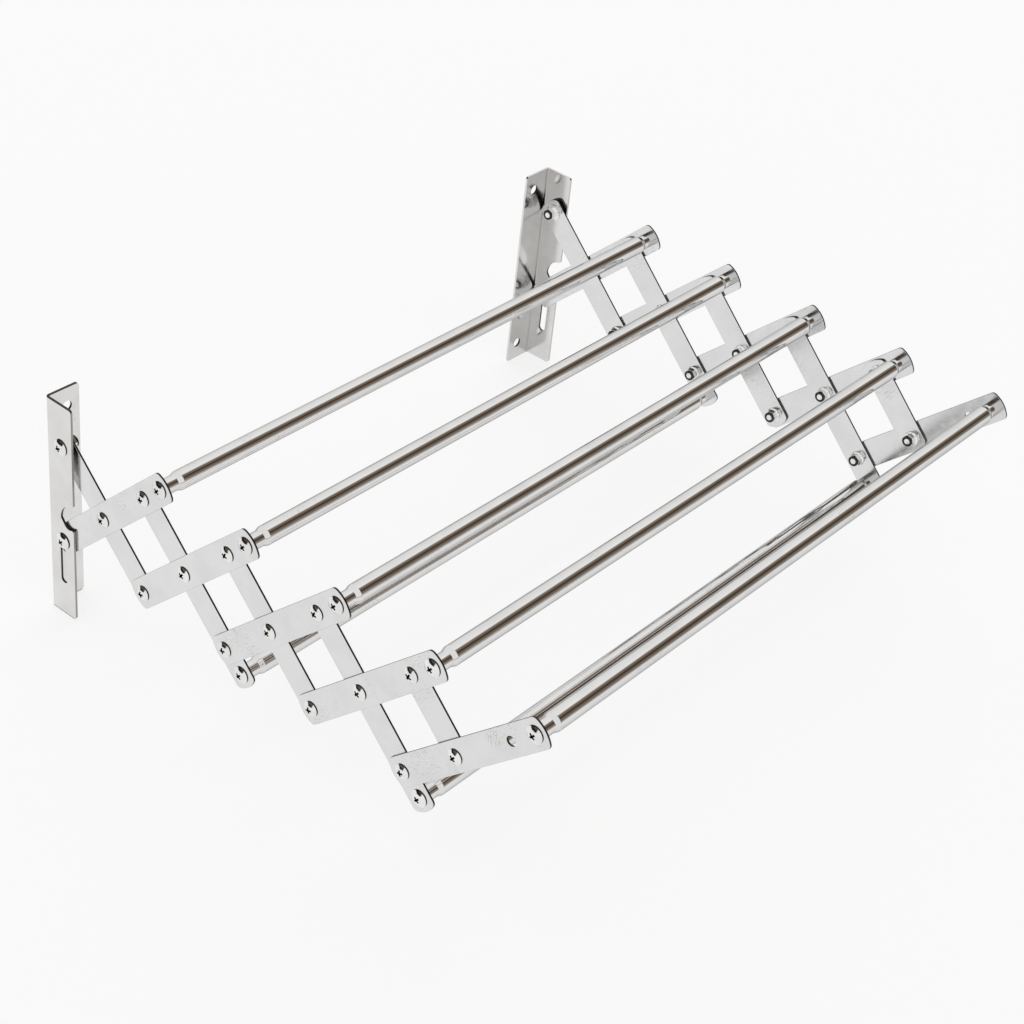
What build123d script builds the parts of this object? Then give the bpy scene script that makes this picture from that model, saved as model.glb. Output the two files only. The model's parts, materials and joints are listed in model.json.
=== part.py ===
"""Wall-mounted extending drying rack, drawn pulled right out from the wall.

Two scissor linkages, one at each end, carry five upper rods and two lower rods.  Each
linkage has a row of outer links that rise towards the front and a row of inner links that
fall towards the front.  The first inner link turns on a fixed bolt at the top of its
bracket, and the first outer link ends in a bolt that slides down a slot in the bracket as
the rack is pushed back.

Frame: the origin is the centre of the four wall holes, on the wall.  X runs along the rods,
+Y points into the wall and +Z is up.
"""
import os
from math import cos, radians, sin

from build123d import *

os.makedirs("parts", exist_ok=True)

# Driving dimensions, in millimetres and degrees.
SPAN = 600.0  # between the outer faces of the two rows of outer links
HALF_LINK = 65.0  # from a link's middle pivot to its end pivots
REST_ANGLE = 44.5  # slope of every link when the rack is pulled out
STAGES = 5
ROD_REACH = 26.0  # from the front pivot of an outer link to its rod
LOWER_ROD_REACH = 23.0  # from the lower pivot of an inner link to its rod
LOWER_ROD_LINKS = (2, 4)  # the inner links that run on to carry a lower rod

LINK_WIDTH = 25.0
LINK_STEEL = 1.8
LINK_END_MARGIN = 11.3  # from the last hole to the tip of the end's arc
LINK_END_RISE = 3.5  # how far the end's arc stands out from its corners
LINK_CORNER = 4.5
EDGE_ROUND = 0.3
LINK_GAP = 0.15  # between an outer and an inner link

BRACKET_HEIGHT = 205.0
BRACKET_STEEL = 2.0
SIDE_FLANGE = 30.0
WALL_FLANGE = 32.0
BEND_OUTSIDE = 3.2
BEND_INSIDE = 1.6
BRACKET_CORNER = 3.0
BRACKET_GAP = 0.3  # between a bracket and the outer links
PIVOT_HEIGHT = 62.5  # the fixed bolt's height above the middle of the bracket
PIVOT_DEPTH = 17.0  # the fixed bolt and the slot, out from the wall
SLOT_WIDTH = 7.5
SLOT_FOOT = -71.0
NOTCH_TOP = 11.0
NOTCH_DEEPEST = -6.0
NOTCH_FOOT = -25.0
NOTCH_FLOOR = 15.0  # steel left between the notch and the wall
NOTCH_BULGE = 4.0  # how far the upper curve's middle stays out from the deepest point
NOTCH_BULGE_RISE = 3.0  # and how far it stands above halfway down
NOTCH_ROUND = 6.0
NOTCH_CORNER = 2.0
WALL_HOLE_SPACING_X = 565.0
WALL_HOLE_SPACING_Z = 170.0
WALL_HOLE_RADIUS = 4.75

BOLT_RADIUS = 3.0
SPARE_HOLE_RADIUS = 4.25  # of the fifth outer links' empty hole
RUNNING_CLEARANCE = 0.06
SEATED_CLEARANCE = 0.03
PIVOT_HEAD_RADIUS = 6.5
ROD_HEAD_RADIUS = 7.25
HEAD_HEIGHT = 3.2
HEAD_RIM = 0.7
RECESS_LENGTH = 5.6
RECESS_WIDTH = 1.8
RECESS_DEPTH = 2.0
RECESS_TAPER = 12.0
BOLT_CHAMFER = 0.6
NUT_FLATS = 10.0
NUT_HEX_HEIGHT = 5.4
NUT_COLLAR_RADIUS = 4.8
NUT_COLLAR_HEIGHT = 2.0
NUT_COLLAR_ROUND = 0.4
NUT_CHAMFER = 0.2
NUT_FLANGE_RADIUS = 6.75
NUT_FLANGE_RIM = 0.5
NUT_FLANGE_RISE = 1.2  # of the cone between the flange's rim and the hexagon
NUT_FLANGE_TAPER = 40.0
NUT_GAP = 0.1
BOLT_TIP = 0.2  # how far a bolt stands out of its nut
WASHER_RADIUS = 8.0
WASHER_STEEL = 1.2
SPACER_RADIUS = 6.5
RING_CHAMFER = 0.2

TUBE_RADIUS = 8.0
TUBE_WALL = 0.8
NECK_RADIUS = 6.5
NECK_LENGTH = 12.5
SHOULDER_LENGTH = 4.5
SHOULDER_BEND = 3.0
PLUG_LENGTH = 12.0
ROD_SCREW_LENGTH = 12.0

# Layers at one end of the rack, measured inwards from the outer links' outer face.
BRACKET_OUTER = -BRACKET_GAP - BRACKET_STEEL
OUTER_INNER_FACE = LINK_STEEL
INNER_OUTER_FACE = LINK_STEEL + LINK_GAP
INNER_INNER_FACE = INNER_OUTER_FACE + LINK_STEEL
NUT_HEIGHT = NUT_HEX_HEIGHT + NUT_COLLAR_HEIGHT

SIDES = {"left": -1, "right": 1}
RISING = 1
FALLING = -1


# Places in the Y-Z plane.
def along(point, length, slope):
    """The point that lies a length further forward on a link that rises or falls."""
    angle = radians(REST_ANGLE)
    return (point[0] - length * cos(angle), point[1] + slope * length * sin(angle))


upper_pivots = [(-PIVOT_DEPTH, PIVOT_HEIGHT)]
middle_pivots = []
lower_pivots = []
upper_rod_centres = []
for stage in range(STAGES):
    middle = along(upper_pivots[stage], HALF_LINK, FALLING)
    front = along(middle, HALF_LINK, RISING)
    middle_pivots.append(middle)
    lower_pivots.append(along(middle, -HALF_LINK, RISING))
    upper_pivots.append(front)
    upper_rod_centres.append(along(front, ROD_REACH, RISING))
lower_rod_centres = [
    along(lower_pivots[number], LOWER_ROD_REACH, FALLING) for number in LOWER_ROD_LINKS
]


def save(piece, name):
    """Label a finished piece and write its file."""
    piece.part.label = name
    export_step(piece.part, f"parts/{name}.step")


# Brackets.
def make_left_bracket():
    """A steel angle with two wall holes, a bolt hole, a slot and a notched front edge."""
    outer_x = -SPAN / 2 + BRACKET_OUTER
    with BuildPart() as bracket:
        with BuildSketch(Plane.XY.offset(-BRACKET_HEIGHT / 2)):
            with Locations((outer_x, 0)):
                Rectangle(BRACKET_STEEL, SIDE_FLANGE, align=(Align.MIN, Align.MAX))
                Rectangle(WALL_FLANGE, BRACKET_STEEL, align=(Align.MIN, Align.MAX))
        extrude(amount=BRACKET_HEIGHT)
        upright = bracket.edges().filter_by(Axis.Z)
        fillet(upright.sort_by_distance((outer_x, 0, 0))[0], radius=BEND_OUTSIDE)
        inner_bend = (outer_x + BRACKET_STEEL, -BRACKET_STEEL, 0)
        fillet(
            bracket.edges().filter_by(Axis.Z).sort_by_distance(inner_bend)[0],
            radius=BEND_INSIDE,
        )
        fillet(
            bracket.edges().filter_by(Axis.X).group_by(Axis.Y)[0], radius=BRACKET_CORNER
        )
        fillet(
            bracket.edges().filter_by(Axis.Y).group_by(Axis.X)[-1], radius=BRACKET_CORNER
        )

        # The side flange's openings, drawn in the Y-Z plane.
        with BuildSketch(Plane.YZ.offset(outer_x)):
            with Locations(upper_pivots[0]):
                Circle(BOLT_RADIUS + SEATED_CLEARANCE)
            slot_top = lower_pivots[0][1] + SLOT_WIDTH / 2
            slot_length = slot_top - SLOT_FOOT
            with Locations((-PIVOT_DEPTH, SLOT_FOOT + slot_length / 2)):
                SlotOverall(slot_length, SLOT_WIDTH, rotation=90)
        extrude(amount=BRACKET_STEEL, mode=Mode.SUBTRACT)

        with BuildSketch(Plane.YZ.offset(outer_x)) as notch:
            with BuildLine():
                deepest = (-NOTCH_FLOOR, NOTCH_DEEPEST)
                halfway = (NOTCH_TOP + NOTCH_DEEPEST) / 2
                bulge = (-NOTCH_FLOOR - NOTCH_BULGE, halfway + NOTCH_BULGE_RISE)
                ThreePointArc((-SIDE_FLANGE, NOTCH_TOP), bulge, deepest)
                Line(deepest, (-SIDE_FLANGE, NOTCH_FOOT))
                Line((-SIDE_FLANGE, NOTCH_FOOT), (-SIDE_FLANGE, NOTCH_TOP))
            make_face()
            deepest_corner = notch.vertices().sort_by_distance((outer_x, *deepest))[0]
            fillet(deepest_corner, radius=NOTCH_ROUND)
        extrude(amount=BRACKET_STEEL, mode=Mode.SUBTRACT)
        front_edges = bracket.edges().filter_by(Axis.X).group_by(Axis.Y)[0]
        fillet(front_edges.sort_by(Axis.Z)[1:3], radius=NOTCH_CORNER)

        with BuildSketch(Plane.XZ):
            with Locations(
                (-WALL_HOLE_SPACING_X / 2, WALL_HOLE_SPACING_Z / 2),
                (-WALL_HOLE_SPACING_X / 2, -WALL_HOLE_SPACING_Z / 2),
            ):
                Circle(WALL_HOLE_RADIUS)
        extrude(amount=BRACKET_STEEL, mode=Mode.SUBTRACT)
    return bracket


bracket_left = make_left_bracket()
save(bracket_left, "bracket_left")
with BuildPart() as bracket_right:
    mirror(bracket_left.part, about=Plane.YZ)
save(bracket_right, "bracket_right")


# Links.
def make_link(side, start, slope, outer_face, length, holes):
    """A flat bar with arched ends; holes are (distance from the start, radius) pairs."""
    angle = radians(REST_ANGLE)
    face = Plane(
        origin=(side * (SPAN / 2 - outer_face), *start),
        x_dir=(0, -cos(angle), slope * sin(angle)),
        z_dir=(-side, 0, 0),
    )
    half = LINK_WIDTH / 2
    shoulder = LINK_END_MARGIN - LINK_END_RISE
    with BuildPart() as link:
        with BuildSketch(face) as outline:
            with BuildLine():
                Line((-shoulder, -half), (length + shoulder, -half))
                ThreePointArc(
                    (length + shoulder, -half),
                    (length + LINK_END_MARGIN, 0),
                    (length + shoulder, half),
                )
                Line((length + shoulder, half), (-shoulder, half))
                ThreePointArc((-shoulder, half), (-LINK_END_MARGIN, 0), (-shoulder, -half))
            make_face()
            fillet(outline.vertices(), radius=LINK_CORNER)
            for distance, radius in holes:
                with Locations((distance, 0)):
                    Circle(radius, mode=Mode.SUBTRACT)
        extrude(amount=LINK_STEEL)
        flats = link.faces().filter_by(Axis.X)
        rims = [edge for flat in flats for edge in flat.outer_wire().edges()]
        fillet(rims, radius=EDGE_ROUND)
    return link


seated_hole = BOLT_RADIUS + SEATED_CLEARANCE
running_hole = BOLT_RADIUS + RUNNING_CLEARANCE
FULL_LINK = 2 * HALF_LINK

for stage in range(STAGES):
    last = stage == STAGES - 1
    outer_holes = [
        (0, seated_hole),
        (HALF_LINK, seated_hole),
        (FULL_LINK, SPARE_HOLE_RADIUS if last else seated_hole),
        (FULL_LINK + ROD_REACH, seated_hole),
    ]
    inner_length = HALF_LINK if last else FULL_LINK
    inner_holes = [(0, running_hole), (HALF_LINK, running_hole)]
    if not last:
        inner_holes.append((FULL_LINK, running_hole))
    if stage + 1 in LOWER_ROD_LINKS:
        inner_length = FULL_LINK + LOWER_ROD_REACH
        inner_holes.append((inner_length, seated_hole))
    for side_name, side in SIDES.items():
        outer_link = make_link(
            side, lower_pivots[stage], RISING, 0, FULL_LINK + ROD_REACH, outer_holes
        )
        save(outer_link, f"outer_link_{stage + 1}_{side_name}")
        inner_link = make_link(
            side, upper_pivots[stage], FALLING, INNER_OUTER_FACE, inner_length, inner_holes
        )
        save(inner_link, f"inner_link_{stage + 1}_{side_name}")


# Fasteners, each drawn for the left end with its axis along X and its seat at the origin.
def make_screw(head_radius, length):
    """A dome-headed cross-recess screw whose shank points along +X."""
    with BuildPart() as screw:
        with BuildSketch(Plane.XY) as half_section:
            with BuildLine():
                Line((-HEAD_HEIGHT, 0), (length, 0))
                Line((length, 0), (length, BOLT_RADIUS))
                Line((length, BOLT_RADIUS), (0, BOLT_RADIUS))
                Line((0, BOLT_RADIUS), (0, head_radius))
                Line((0, head_radius), (-HEAD_RIM, head_radius))
                TangentArc((-HEAD_HEIGHT, 0), (-HEAD_RIM, head_radius), tangent=(0, 1))
            make_face()
            tip = half_section.vertices().sort_by_distance((length, BOLT_RADIUS, 0))[0]
            chamfer(tip, length=BOLT_CHAMFER)
        revolve(axis=Axis.X)
        with BuildSketch(Plane.YZ.offset(-HEAD_HEIGHT)):
            Rectangle(RECESS_LENGTH, RECESS_WIDTH)
            Rectangle(RECESS_WIDTH, RECESS_LENGTH)
        extrude(amount=RECESS_DEPTH, taper=RECESS_TAPER, mode=Mode.SUBTRACT)
    return screw.part


def make_lock_nut():
    """A flanged hexagon nut with a round locking collar, seated at the origin."""
    with BuildPart() as nut:
        with BuildSketch(Plane.YZ):
            RegularPolygon(NUT_FLATS / 2, 6, major_radius=False)
        extrude(amount=NUT_HEX_HEIGHT)
        chamfer(nut.faces().sort_by(Axis.X)[-1].edges(), length=NUT_CHAMFER)
        with BuildSketch(Plane.YZ):
            Circle(NUT_FLANGE_RADIUS)
        extrude(amount=NUT_FLANGE_RIM)
        with BuildSketch(Plane.YZ.offset(NUT_FLANGE_RIM)):
            Circle(NUT_FLANGE_RADIUS)
        extrude(amount=NUT_FLANGE_RISE, taper=NUT_FLANGE_TAPER)
        with BuildSketch(Plane.YZ.offset(NUT_HEX_HEIGHT)):
            Circle(NUT_COLLAR_RADIUS)
        extrude(amount=NUT_COLLAR_HEIGHT)
        fillet(nut.faces().sort_by(Axis.X)[-1].edges(), radius=NUT_COLLAR_ROUND)
        with BuildSketch(Plane.YZ):
            Circle(BOLT_RADIUS + SEATED_CLEARANCE)
        extrude(amount=NUT_HEIGHT, mode=Mode.SUBTRACT)
    return nut.part


def make_ring(outer_radius, thickness):
    """A flat washer or a spacer, seated at the origin."""
    with BuildPart() as ring:
        with BuildSketch(Plane.YZ):
            Circle(outer_radius)
            Circle(BOLT_RADIUS + SEATED_CLEARANCE, mode=Mode.SUBTRACT)
        extrude(amount=thickness)
        rims = ring.edges().filter_by(GeomType.CIRCLE).sort_by(SortBy.RADIUS)[-2:]
        chamfer(rims, length=RING_CHAMFER)
    return ring.part


def save_group(name, piece, depth, points, sides=tuple(SIDES.values()), turn=0):
    """Write copies of one left-hand fastener, at both ends of the rack, as one node."""
    turned = 0
    with BuildPart() as group:
        for side in sides:
            handed = piece if side < 0 else piece.mirror(Plane.YZ)
            for point in points:
                turned += turn
                with Locations(Location((side * (SPAN / 2 - depth), *point), (turned, 0, 0))):
                    add(handed)
    save(group, name)


lock_nut = make_lock_nut()
nut_seat = INNER_INNER_FACE + NUT_GAP
pivot_bolt = make_screw(PIVOT_HEAD_RADIUS, nut_seat + NUT_HEIGHT + BOLT_TIP)

for stage in range(STAGES):
    stage_pivots = [middle_pivots[stage]]
    if stage > 0:
        stage_pivots.append(lower_pivots[stage])
    if stage < STAGES - 1:
        stage_pivots.append(upper_pivots[stage + 1])
    save_group(f"pivot_bolts_{stage + 1}", pivot_bolt, 0, stage_pivots, turn=37)
    save_group(f"pivot_nuts_{stage + 1}", lock_nut, nut_seat, stage_pivots, turn=23)

# The sliding bolts run in the brackets' slots and are locked to the first outer links.
slide_seat = BRACKET_OUTER - NUT_GAP
slide_length = OUTER_INNER_FACE + NUT_HEIGHT + BOLT_TIP - slide_seat
slide_bolt = make_screw(ROD_HEAD_RADIUS, slide_length)
save_group("slide_bolts", slide_bolt, slide_seat, [lower_pivots[0]], turn=50)
save_group("slide_nuts", lock_nut, OUTER_INNER_FACE, [lower_pivots[0]], turn=15)

# The top bolts are fixed to the brackets; a spacer brings the inner links into line.
washer_seat = INNER_INNER_FACE + NUT_GAP
top_nut_seat = washer_seat + WASHER_STEEL
top_length = top_nut_seat + NUT_HEIGHT + BOLT_TIP - BRACKET_OUTER
spacer_length = INNER_OUTER_FACE - NUT_GAP + BRACKET_GAP
save_group(
    "top_bolts", make_screw(ROD_HEAD_RADIUS, top_length), BRACKET_OUTER, upper_pivots[:1], turn=65
)
save_group("top_spacers", make_ring(SPACER_RADIUS, spacer_length), -BRACKET_GAP, upper_pivots[:1])
save_group("top_washers", make_ring(WASHER_RADIUS, WASHER_STEEL), washer_seat, upper_pivots[:1])
save_group("top_nuts", lock_nut, top_nut_seat, upper_pivots[:1], turn=40)


# Rods.
def make_rod(centre, length):
    """A tube along X, swaged down to a neck at each end."""
    end = length / 2
    neck = end - NECK_LENGTH
    body = neck - SHOULDER_LENGTH
    section = Plane(origin=(0, *centre), x_dir=(1, 0, 0), z_dir=(0, -1, 0))
    with BuildPart() as rod:
        with BuildSketch(section):
            with BuildLine():
                outside = FilletPolyline(
                    (-end, NECK_RADIUS),
                    (-neck, NECK_RADIUS),
                    (-body, TUBE_RADIUS),
                    (body, TUBE_RADIUS),
                    (neck, NECK_RADIUS),
                    (end, NECK_RADIUS),
                    radius=SHOULDER_BEND,
                )
                inside = FilletPolyline(
                    (-end, NECK_RADIUS - TUBE_WALL),
                    (-neck, NECK_RADIUS - TUBE_WALL),
                    (-body, TUBE_RADIUS - TUBE_WALL),
                    (body, TUBE_RADIUS - TUBE_WALL),
                    (neck, NECK_RADIUS - TUBE_WALL),
                    (end, NECK_RADIUS - TUBE_WALL),
                    radius=SHOULDER_BEND,
                )
                Line(outside @ 0, inside @ 0)
                Line(outside @ 1, inside @ 1)
            make_face()
        revolve(axis=Axis((0, *centre), (1, 0, 0)))
    return rod


rod_plug = make_ring(NECK_RADIUS - TUBE_WALL - SEATED_CLEARANCE, PLUG_LENGTH)


def save_rod(name, centre, seat):
    """Write one rod, the threaded plugs in its necks and the screws that hold it."""
    save(make_rod(centre, SPAN - 2 * seat), name)
    save_group(f"{name}_plugs", rod_plug, seat, [centre])
    screw_seat = seat - LINK_STEEL
    rod_screw = make_screw(ROD_HEAD_RADIUS, ROD_SCREW_LENGTH)
    save_group(f"{name}_screws", rod_screw, screw_seat, [centre], turn=41)


for number, centre in enumerate(upper_rod_centres, start=1):
    save_rod(f"upper_rod_{number}", centre, OUTER_INNER_FACE)
for number, centre in enumerate(lower_rod_centres, start=1):
    save_rod(f"lower_rod_{number}", centre, INNER_INNER_FACE)
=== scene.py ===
import json
from math import cos, radians, sin

import bpy
from mathutils import Matrix, Vector


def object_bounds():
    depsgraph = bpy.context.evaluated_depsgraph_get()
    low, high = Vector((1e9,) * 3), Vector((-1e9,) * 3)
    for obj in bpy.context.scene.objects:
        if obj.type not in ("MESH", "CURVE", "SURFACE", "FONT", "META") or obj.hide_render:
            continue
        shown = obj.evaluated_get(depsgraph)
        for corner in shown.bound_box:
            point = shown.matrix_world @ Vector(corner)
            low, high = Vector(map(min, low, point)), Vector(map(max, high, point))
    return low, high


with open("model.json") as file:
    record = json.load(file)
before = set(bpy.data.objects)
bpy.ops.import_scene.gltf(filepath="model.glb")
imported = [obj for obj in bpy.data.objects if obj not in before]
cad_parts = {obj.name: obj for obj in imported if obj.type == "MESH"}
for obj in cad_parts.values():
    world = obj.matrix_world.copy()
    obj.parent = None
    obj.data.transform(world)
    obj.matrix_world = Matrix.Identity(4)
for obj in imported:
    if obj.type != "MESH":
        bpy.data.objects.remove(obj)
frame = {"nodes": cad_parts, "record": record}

cad_low, cad_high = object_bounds()

# Lengths are in metres and angles in degrees.
CAMERA_PLACE = Vector((-1.1927, -1.1292, 1.0489))
CAMERA_AZIMUTH = -53.08
CAMERA_ELEVATION = 35.84
CAMERA_ROLL = 6.77
CAMERA_LENS_MM = 76.74
CAMERA_SENSOR_MM = 36.0
CAMERA_REACH = 100.0

FLOOR_GAP = 0.0005
FLOOR_SIZE = 60.0
FLOOR_GLOW = 0.765
FLOOR_PAINT = 0.235
FLOOR_WEAR = 1.01
FLOOR_ROUGHNESS = 0.9
FLOOR_SHINE = 0.1

# The room is white, with a dark doorway behind the photographer's right shoulder and a dark
# corner on the left. The doorway's stops are (degrees up from the horizon in front of the
# rack, colour), the corner's are (share of its top, colour). Each fade is a range of one
# component of the direction: X along the rods, Y into the wall, Z up.
ROOM_WHITE = (0.95, 0.95, 0.95)
ROOM_STRENGTH = 1.0
DOORWAY = (
    (-20, (0.82, 0.82, 0.82)),
    (-8, (0.70, 0.70, 0.695)),
    (-1, (0.58, 0.565, 0.55)),
    (3, (0.38, 0.355, 0.33)),
    (7, (0.48, 0.455, 0.43)),
    (13, (0.33, 0.295, 0.26)),
    (18, (0.19, 0.150, 0.115)),
    (28, (0.215, 0.165, 0.122)),
    (35, (0.16, 0.122, 0.090)),
    (40, (0.055, 0.043, 0.034)),
    (47, (0.050, 0.039, 0.031)),
    (52, (0.13, 0.099, 0.074)),
    (63, (0.215, 0.168, 0.128)),
    (73, (0.26, 0.215, 0.175)),
    (80, (0.70, 0.685, 0.67)),
    (86, (1.06, 1.06, 1.06)),
    (110, (0.98, 0.98, 0.98)),
)
DOORWAY_LEFT_FADE = (0.12, 0.34)
DOORWAY_RIGHT_FADE = (0.86, 0.95)
DARK_CORNER = (
    (0.00, (0.012, 0.010, 0.009)),
    (0.30, (0.020, 0.016, 0.013)),
    (0.45, (0.130, 0.105, 0.082)),
    (0.70, (0.110, 0.085, 0.066)),
    (0.82, (0.015, 0.012, 0.010)),
    (1.00, (0.012, 0.010, 0.009)),
)
CORNER_TOP = 0.60
CORNER_TOP_FADE = (CORNER_TOP, CORNER_TOP + 0.08)
CORNER_RIGHT_FADE = (-0.50, -0.20)
CORNER_FRONT_FADE = (-0.04, 0.14)

# Steel colours, besides each finish's own light and dark.
# Nearly black: painted shade on edges, rims and recesses, and the colour of the nut collars.
SHADE_AND_COLLAR_BLACK = (0.045, 0.041, 0.038)
SCRATCHED = (0.40, 0.395, 0.39)
# Used for real scuffs on a link, and for painted shade in the brackets' bends and on the right
# bracket's front.
SCUFF_AND_SHADE = (0.42, 0.40, 0.38)

# Noises: (features per metre, detail, roughness), and the part of its range that each uses.
CLOUD_NOISE, CLOUD_RANGE = (38.0, 4.0, 0.55), (0.35, 0.68)
GRAIN_NOISE, GRAIN_RANGE = (900.0, 2.0, 0.6), (0.3, 0.7)
SMEAR_NOISE, SMEAR_RANGE = (120.0, 5.0, 0.65), (0.4, 0.75)
SCRATCH_NOISE, SCRATCH_RANGE = (420.0, 1.5, 0.4), (0.58, 0.66)
PATCH_NOISE, PATCH_RANGE = (22.0, 2.0, 0.5), (0.52, 0.66)
STROKE_NOISE, STROKE_RANGE = (420.0, 1.0, 0.4), (0.50, 0.62)
FLOOR_NOISE = (2.0, 3.0, 0.5)
GRAIN_ROUGHNESS = 0.03
GRAIN_RELIEF = 0.02
GRAIN_DEPTH = 0.0002
CUT_ROUGHNESS = 0.2
SCRATCH_STRENGTH = 0.5
SCRATCH_STRETCH = (1.0, 0.25, 2.2)
SCRATCH_TURN = (0.7, 0.0, 0.0)

# How each finish's grain is stretched: along X on the rods, in the plane of the sheet
# on the links and along Z on the brackets.
ALONG_RODS = (30.0, 1.0, 1.0)
ALONG_STRIP = (1.0, 6.0, 1.0)
ALONG_ANGLE = (1.0, 1.0, 12.0)
EVEN = (1.0, 1.0, 1.0)

# Scuffs near the front end of the left fifth outer link.
SCUFF_PLACE = (-0.300, -0.4657, 0.0549)
SCUFF_FADE = (0.004, 0.010)
SCUFF_STRENGTH = 0.55
SCUFF_STRETCH = (1.0, 0.35, 2.0)

# Places on a bracket, each the two ends of a fade: X from the middle of the rack, depth from
# the wall, height from the middle of the bracket.
MIDDLE = (-0.01, 0.01)
BRACKET_END = (0.1018, 0.1021)
SIDE_BACK = (0.0045, 0.0055)
SIDE_FRONT = (0.0293, 0.0297)
SIDE_INSIDE = (0.3003, 0.3005)
WALL_EDGE = (0.2706, 0.2709)
WALL_CORNER = (0.2975, 0.2980)
WALL_INSIDE = (0.0018, 0.0021)
BEND_DEPTH = (0.0037, 0.0040)
# The range of X over which the painted shade on the right bracket's front deepens towards the
# corner.
BRACKET_CORNER_SHADE = (0.2950, 0.3015)
# Strengths of painted shade: on the left bracket's front edge, and on the right bracket's front
# away from and at the corner.
LEFT_FRONT_EDGE = 0.6
RIGHT_PAINTED_SHADE = 0.3
RIGHT_CORNER_PAINTED_SHADE = 0.65

# Ranges of a normal's X or Y: off a flat face, off the links' faces, clearly towards the
# front, just turning, nearly turned, off a screw head's dome and on its flat recess.
OFF_FACE = (0.45, 0.8)
OFF_LINK_FACE = (0.45, 0.9)
TO_FRONT = (0.7, 0.95)
TURNING = (0.02, 0.35)
TURNED = (0.90, 0.995)
OFF_DOME = (0.55, 0.7)
IN_RECESS = (0.9990, 0.9998)
HEAD_INNER_X = (0.2965, 0.2970)

# X of each kind of lock nut's collar, which is drawn nearly black, and the width of the fade into
# it.
NUT_COLLARS = {"pivot_nuts": 0.29074, "slide_nuts": 0.29279, "top_nuts": 0.28954}
COLLAR_FADE = 0.00005


class Graph:
    """Short names for the nodes that the materials and the room share."""

    def __init__(self, tree):
        self.nodes = tree.nodes
        self.links = tree.links

    def new(self, kind, **settings):
        node = self.nodes.new(kind)
        for name, value in settings.items():
            setattr(node, name, value)
        return node

    def link(self, source, target):
        self.links.new(source, target)

    def coordinate(self, output="Object"):
        return self.new("ShaderNodeTexCoord").outputs[output]

    def split(self, vector):
        node = self.new("ShaderNodeSeparateXYZ")
        self.link(vector, node.inputs[0])
        return node.outputs

    def sizes(self, output):
        """The absolute X, Y and Z of a texture coordinate output."""
        return [self.math("ABSOLUTE", part) for part in self.split(self.coordinate(output))]

    def math(self, operation, *values):
        node = self.new("ShaderNodeMath", operation=operation)
        for socket, value in zip(node.inputs, values):
            if isinstance(value, (int, float)):
                socket.default_value = value
            else:
                self.link(value, socket)
        return node.outputs[0]

    def times(self, first, *others):
        for other in others:
            first = self.math("MULTIPLY", first, other)
        return first

    def larger(self, first, second):
        return self.math("MAXIMUM", first, second)

    def mapped(self, value, source, target, curve="SMOOTHSTEP"):
        """The value's source range carried over to the target range, and held outside it."""
        node = self.new("ShaderNodeMapRange", interpolation_type=curve)
        self.link(value, node.inputs["Value"])
        names = ("From Min", "From Max", "To Min", "To Max")
        for name, number in zip(names, (*source, *target)):
            node.inputs[name].default_value = number
        return node.outputs["Result"]

    def rising(self, value, fade, top=1.0):
        return self.mapped(value, fade, (0.0, top))

    def falling(self, value, fade, top=1.0):
        return self.mapped(value, fade, (top, 0.0))

    def noise(self, vector, scale, detail, roughness):
        node = self.new("ShaderNodeTexNoise")
        node.inputs["Scale"].default_value = scale
        node.inputs["Detail"].default_value = detail
        node.inputs["Roughness"].default_value = roughness
        self.link(vector, node.inputs["Vector"])
        return node.outputs["Fac"]

    def stretched(self, vector, stretch, turn=(0.0, 0.0, 0.0)):
        node = self.new("ShaderNodeMapping", vector_type="TEXTURE")
        node.inputs["Rotation"].default_value = turn
        node.inputs["Scale"].default_value = stretch
        self.link(vector, node.inputs["Vector"])
        return node.outputs["Vector"]

    def mix(self, factor, first, second):
        """A blend of two colours, each a tuple or a socket."""
        node = self.new("ShaderNodeMix", data_type="RGBA")
        sockets = {socket.identifier: socket for socket in node.inputs}
        self.link(factor, sockets["Factor_Float"])
        for name, value in (("A_Color", first), ("B_Color", second)):
            if isinstance(value, tuple):
                sockets[name].default_value = (*value, 1.0)
            else:
                self.link(value, sockets[name])
        return next(out for out in node.outputs if out.identifier == "Result_Color")

    def ramp(self, value, stops):
        """A colour ramp over (value, colour) stops."""
        low, high = stops[0][0], stops[-1][0]
        node = self.new("ShaderNodeValToRGB")
        self.link(value, node.inputs[0])
        elements = node.color_ramp.elements
        for place, colour in stops[1:-1]:
            elements.new((place - low) / (high - low)).color = (*colour, 1.0)
        elements[0].color = (*stops[0][1], 1.0)
        elements[len(elements) - 1].color = (*stops[-1][1], 1.0)
        return node.outputs["Color"]


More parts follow.
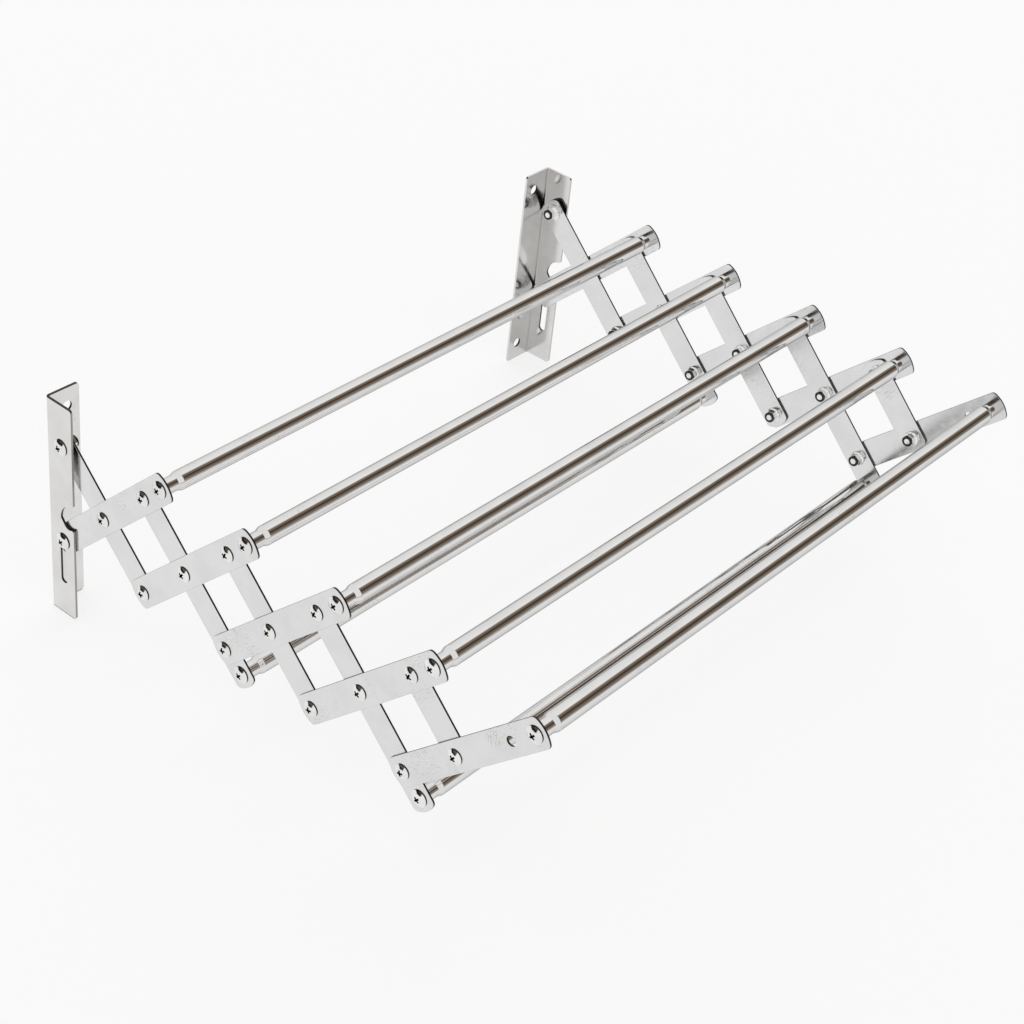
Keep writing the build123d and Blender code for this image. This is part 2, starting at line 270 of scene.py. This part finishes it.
def steel(name, light, dark, rough, grain, edges=None, scuffs_and_shade=None, edge_tint=1.0):
    """Polished stainless steel: cloudy colour, drawn grain, smears and fine scratches.

    The edges function builds a mask of the places drawn nearly black and dull: painted shade on
    edges, rims and recesses, and the nut collars. The other mask function builds one of real
    scuffs and of painted shade in bends and corners.
    """
    material = bpy.data.materials.new(name)
    material.use_nodes = True
    graph = Graph(material.node_tree)
    shader = graph.nodes["Principled BSDF"]
    shader.inputs["Metallic"].default_value = 1.0
    shader.inputs["Specular Tint"].default_value = (edge_tint, edge_tint, edge_tint, 1.0)
    place = graph.coordinate()
    cloud = graph.noise(place, *CLOUD_NOISE)
    fine = graph.noise(graph.stretched(place, grain), *GRAIN_NOISE)
    smear = graph.noise(place, *SMEAR_NOISE)
    colour = graph.mix(graph.rising(cloud, CLOUD_RANGE), light, dark)
    roughness = graph.math(
        "ADD",
        graph.mapped(smear, SMEAR_RANGE, rough),
        graph.rising(fine, GRAIN_RANGE, GRAIN_ROUGHNESS),
    )
    scratch = graph.noise(graph.stretched(place, SCRATCH_STRETCH, SCRATCH_TURN), *SCRATCH_NOISE)
    worn = graph.times(
        graph.rising(scratch, SCRATCH_RANGE),
        graph.rising(graph.noise(place, *PATCH_NOISE), PATCH_RANGE, SCRATCH_STRENGTH),
    )
    colour = graph.mix(worn, colour, SCRATCHED)
    # The other mask's scuffs and painted shade, then the edges mask's near-black: painted shade
    # on edges, rims and recesses, and the nut collars.
    if scuffs_and_shade:
        colour = graph.mix(scuffs_and_shade(graph), colour, SCUFF_AND_SHADE)
    if edges:
        mask = edges(graph)
        colour = graph.mix(mask, colour, SHADE_AND_COLLAR_BLACK)
        roughness = graph.math("ADD", roughness, graph.times(mask, CUT_ROUGHNESS))
    graph.link(colour, shader.inputs["Base Color"])
    graph.link(roughness, shader.inputs["Roughness"])
    relief = graph.new("ShaderNodeBump")
    relief.inputs["Strength"].default_value = GRAIN_RELIEF
    relief.inputs["Distance"].default_value = GRAIN_DEPTH
    graph.link(fine, relief.inputs["Height"])
    graph.link(relief.outputs["Normal"], shader.inputs["Normal"])
    return material


# Masks. A colour's masks are in the pieces' own space, so they move with them.
def strip_edge_shade(graph):
    """Painted shade on everything on a link that doesn't face along X."""
    across, _, _ = graph.sizes("Normal")
    return graph.falling(across, OFF_LINK_FACE)


def link_scuffs(graph):
    """Short scuffs across the front end of the left link that carries the fifth rod."""
    place = graph.coordinate()
    away = graph.new("ShaderNodeVectorMath", operation="DISTANCE")
    graph.link(place, away.inputs[0])
    away.inputs[1].default_value = SCUFF_PLACE
    near = graph.falling(away.outputs["Value"], SCUFF_FADE, SCUFF_STRENGTH)
    strokes = graph.noise(graph.stretched(place, SCUFF_STRETCH), *STROKE_NOISE)
    return graph.times(near, graph.rising(strokes, STROKE_RANGE))


def angle_rim_shade(graph):
    """Painted shade on a bracket's slot, notch, wall holes and corners, and on the left one's
    ends and front edge.
    """
    normal_x, normal_y, _ = graph.sizes("Normal")
    place_x, depth, height = graph.sizes("Object")
    left = graph.falling(graph.split(graph.coordinate())[0], MIDDLE)
    flat_ends = graph.rising(height, BRACKET_END)
    within = graph.math("SUBTRACT", 1.0, flat_ends)
    behind_front = graph.larger(
        graph.falling(depth, SIDE_FRONT), graph.times(left, LEFT_FRONT_EDGE)
    )
    on_side = graph.times(graph.rising(depth, SIDE_BACK), behind_front)
    side_rim = graph.times(on_side, graph.falling(normal_x, OFF_FACE))
    on_wall = graph.times(
        graph.falling(place_x, WALL_CORNER), graph.rising(place_x, WALL_EDGE)
    )
    wall_rim = graph.times(on_wall, graph.falling(normal_y, OFF_FACE))
    openings = graph.times(within, graph.larger(side_rim, wall_rim))
    return graph.larger(openings, graph.times(left, flat_ends))


def angle_bend_shade(graph):
    """Painted shade inside a bracket's bend, and on the front of the right bracket, most at the
    bend.
    """
    normal_x, normal_y, _ = graph.sizes("Normal")
    place_x, depth, _ = graph.sizes("Object")
    turned = graph.times(graph.rising(normal_x, TURNING), graph.falling(normal_x, TURNED))
    inside = graph.times(
        graph.rising(depth, WALL_INSIDE), graph.falling(place_x, SIDE_INSIDE)
    )
    bend = graph.times(turned, inside, graph.falling(depth, BEND_DEPTH))
    right = graph.rising(graph.split(graph.coordinate())[0], MIDDLE)
    deeper = graph.mapped(place_x, BRACKET_CORNER_SHADE, (RIGHT_PAINTED_SHADE, RIGHT_CORNER_PAINTED_SHADE))
    front = graph.times(deeper, graph.rising(normal_y, TO_FRONT))
    return graph.larger(bend, graph.times(right, front))


def collar_within(start):
    """A mask maker for a lock nut's collar, which lies within the given X and is drawn nearly
    black.
    """

    def collar(graph):
        place_x, _, _ = graph.sizes("Object")
        return graph.falling(place_x, (start - COLLAR_FADE, start))

    return collar


def head_rim_shade(graph):
    """Painted shade on a screw head's rim and in its recess."""
    normal_x, _, _ = graph.sizes("Normal")
    place_x, _, _ = graph.sizes("Object")
    steep = graph.falling(normal_x, OFF_DOME)
    flat = graph.rising(normal_x, IN_RECESS)
    return graph.times(graph.rising(place_x, HEAD_INNER_X), graph.larger(steep, flat))


# Finishes.
FASTENER_LOOK = {
    "light": (0.84, 0.838, 0.835),
    "dark": (0.76, 0.757, 0.752),
    "rough": (0.04, 0.10),
    "grain": EVEN,
}
FINISHES = {
    "link_steel": steel(
        "link_steel",
        light=(0.75, 0.75, 0.75),
        dark=(0.71, 0.71, 0.712),
        rough=(0.15, 0.21),
        grain=ALONG_STRIP,
        edges=strip_edge_shade,
        scuffs_and_shade=link_scuffs,
    ),
    "bracket_steel": steel(
        "bracket_steel",
        light=(0.745, 0.740, 0.733),
        dark=(0.695, 0.688, 0.680),
        rough=(0.12, 0.19),
        grain=ALONG_ANGLE,
        edges=angle_rim_shade,
        scuffs_and_shade=angle_bend_shade,
    ),
    "rod_steel": steel(
        "rod_steel",
        light=(0.76, 0.755, 0.75),
        dark=(0.72, 0.715, 0.71),
        rough=(0.03, 0.07),
        grain=ALONG_RODS,
        edge_tint=0.5,
    ),
    "fastener_steel": steel("fastener_steel", **FASTENER_LOOK, edges=head_rim_shade),
    "plug_steel": steel(
        "plug_steel",
        light=(0.55, 0.55, 0.545),
        dark=(0.42, 0.42, 0.415),
        rough=(0.25, 0.45),
        grain=EVEN,
    ),
}
NUT_FINISHES = {
    kind: steel(kind, **FASTENER_LOOK, edges=collar_within(start))
    for kind, start in NUT_COLLARS.items()
}
slots = {entry["node"]: entry["material_slot"] for entry in frame["record"]["subparts"]}
for node_name, piece in frame["nodes"].items():
    kind = next((kind for kind in NUT_FINISHES if node_name.startswith(kind)), None)
    finish = NUT_FINISHES[kind] if kind else FINISHES[slots[node_name]]
    for material_slot in piece.material_slots:
        material_slot.material = finish

# Floor.
half = FLOOR_SIZE / 2
floor_z = cad_low[2] - FLOOR_GAP
floor_corners = [(-half, -half), (half, -half), (half, half), (-half, half)]
floor_mesh = bpy.data.meshes.new("floor")
floor_mesh.from_pydata([(x, y, floor_z) for x, y in floor_corners], [], [(0, 1, 2, 3)])
floor = bpy.data.objects.new("floor", floor_mesh)
bpy.context.scene.collection.objects.link(floor)
paint = bpy.data.materials.new("floor_paint")
paint.use_nodes = True
floor_graph = Graph(paint.node_tree)
floor_shader = floor_graph.nodes["Principled BSDF"]
floor_shader.inputs["Roughness"].default_value = FLOOR_ROUGHNESS
floor_shader.inputs["Specular IOR Level"].default_value = FLOOR_SHINE
floor_cloud = floor_graph.noise(floor_graph.coordinate(), *FLOOR_NOISE)
paint_shade = (FLOOR_PAINT,) * 3
worn_shade = (FLOOR_PAINT * FLOOR_WEAR,) * 3
floor_colour = floor_graph.mix(floor_cloud, paint_shade, worn_shade)
floor_graph.link(floor_colour, floor_shader.inputs["Base Color"])
floor_shader.inputs["Emission Color"].default_value = (1.0, 1.0, 1.0, 1.0)
floor_shader.inputs["Emission Strength"].default_value = FLOOR_GLOW
floor_mesh.materials.append(paint)

# Room. The doorway and the corner show in the steel, and the plain white behind the rack.
world = bpy.data.worlds.new("studio")
bpy.context.scene.world = world
world.use_nodes = True
room = Graph(world.node_tree)
background = room.nodes["Background"]
along, into_wall, up = room.split(room.coordinate("Generated"))

rise = room.math("ARCTAN2", up, room.times(into_wall, -1.0))
doorway_span = (radians(DOORWAY[0][0]), radians(DOORWAY[-1][0]))
doorway = room.ramp(room.mapped(rise, doorway_span, (0.0, 1.0), "LINEAR"), DOORWAY)
opening = room.times(
    room.rising(along, DOORWAY_LEFT_FADE), room.falling(along, DOORWAY_RIGHT_FADE)
)
shade = room.mix(opening, ROOM_WHITE, doorway)

corner_rise = room.mapped(up, (0.0, CORNER_TOP), (0.0, 1.0), "LINEAR")
corner = room.times(
    room.falling(along, CORNER_RIGHT_FADE),
    room.falling(up, CORNER_TOP_FADE),
    room.rising(into_wall, CORNER_FRONT_FADE),
)
shade = room.mix(corner, shade, room.ramp(corner_rise, DARK_CORNER))
seen_directly = room.new("ShaderNodeLightPath").outputs["Is Camera Ray"]
shade = room.mix(seen_directly, shade, ROOM_WHITE)
room.link(shade, background.inputs["Color"])
background.inputs["Strength"].default_value = ROOM_STRENGTH

# Camera. A positive roll lifts its right side.
azimuth, elevation, roll = map(radians, (CAMERA_AZIMUTH, CAMERA_ELEVATION, CAMERA_ROLL))
back = Vector((sin(azimuth) * cos(elevation), -cos(azimuth) * cos(elevation), sin(elevation)))
level_right = (-back).cross(Vector((0, 0, 1))).normalized()
level_down = (-back).cross(level_right)
right = cos(roll) * level_right - sin(roll) * level_down
down = sin(roll) * level_right + cos(roll) * level_down
turn = Matrix((right, -down, back)).transposed().to_4x4()
camera_data = bpy.data.cameras.new("camera")
camera_data.sensor_width = CAMERA_SENSOR_MM
camera_data.lens = CAMERA_LENS_MM
camera_data.clip_end = CAMERA_REACH
camera = bpy.data.objects.new("camera", camera_data)
camera.matrix_world = Matrix.Translation(CAMERA_PLACE) @ turn
bpy.context.scene.collection.objects.link(camera)
bpy.context.scene.camera = camera
bpy.context.scene.view_settings.view_transform = "Standard"
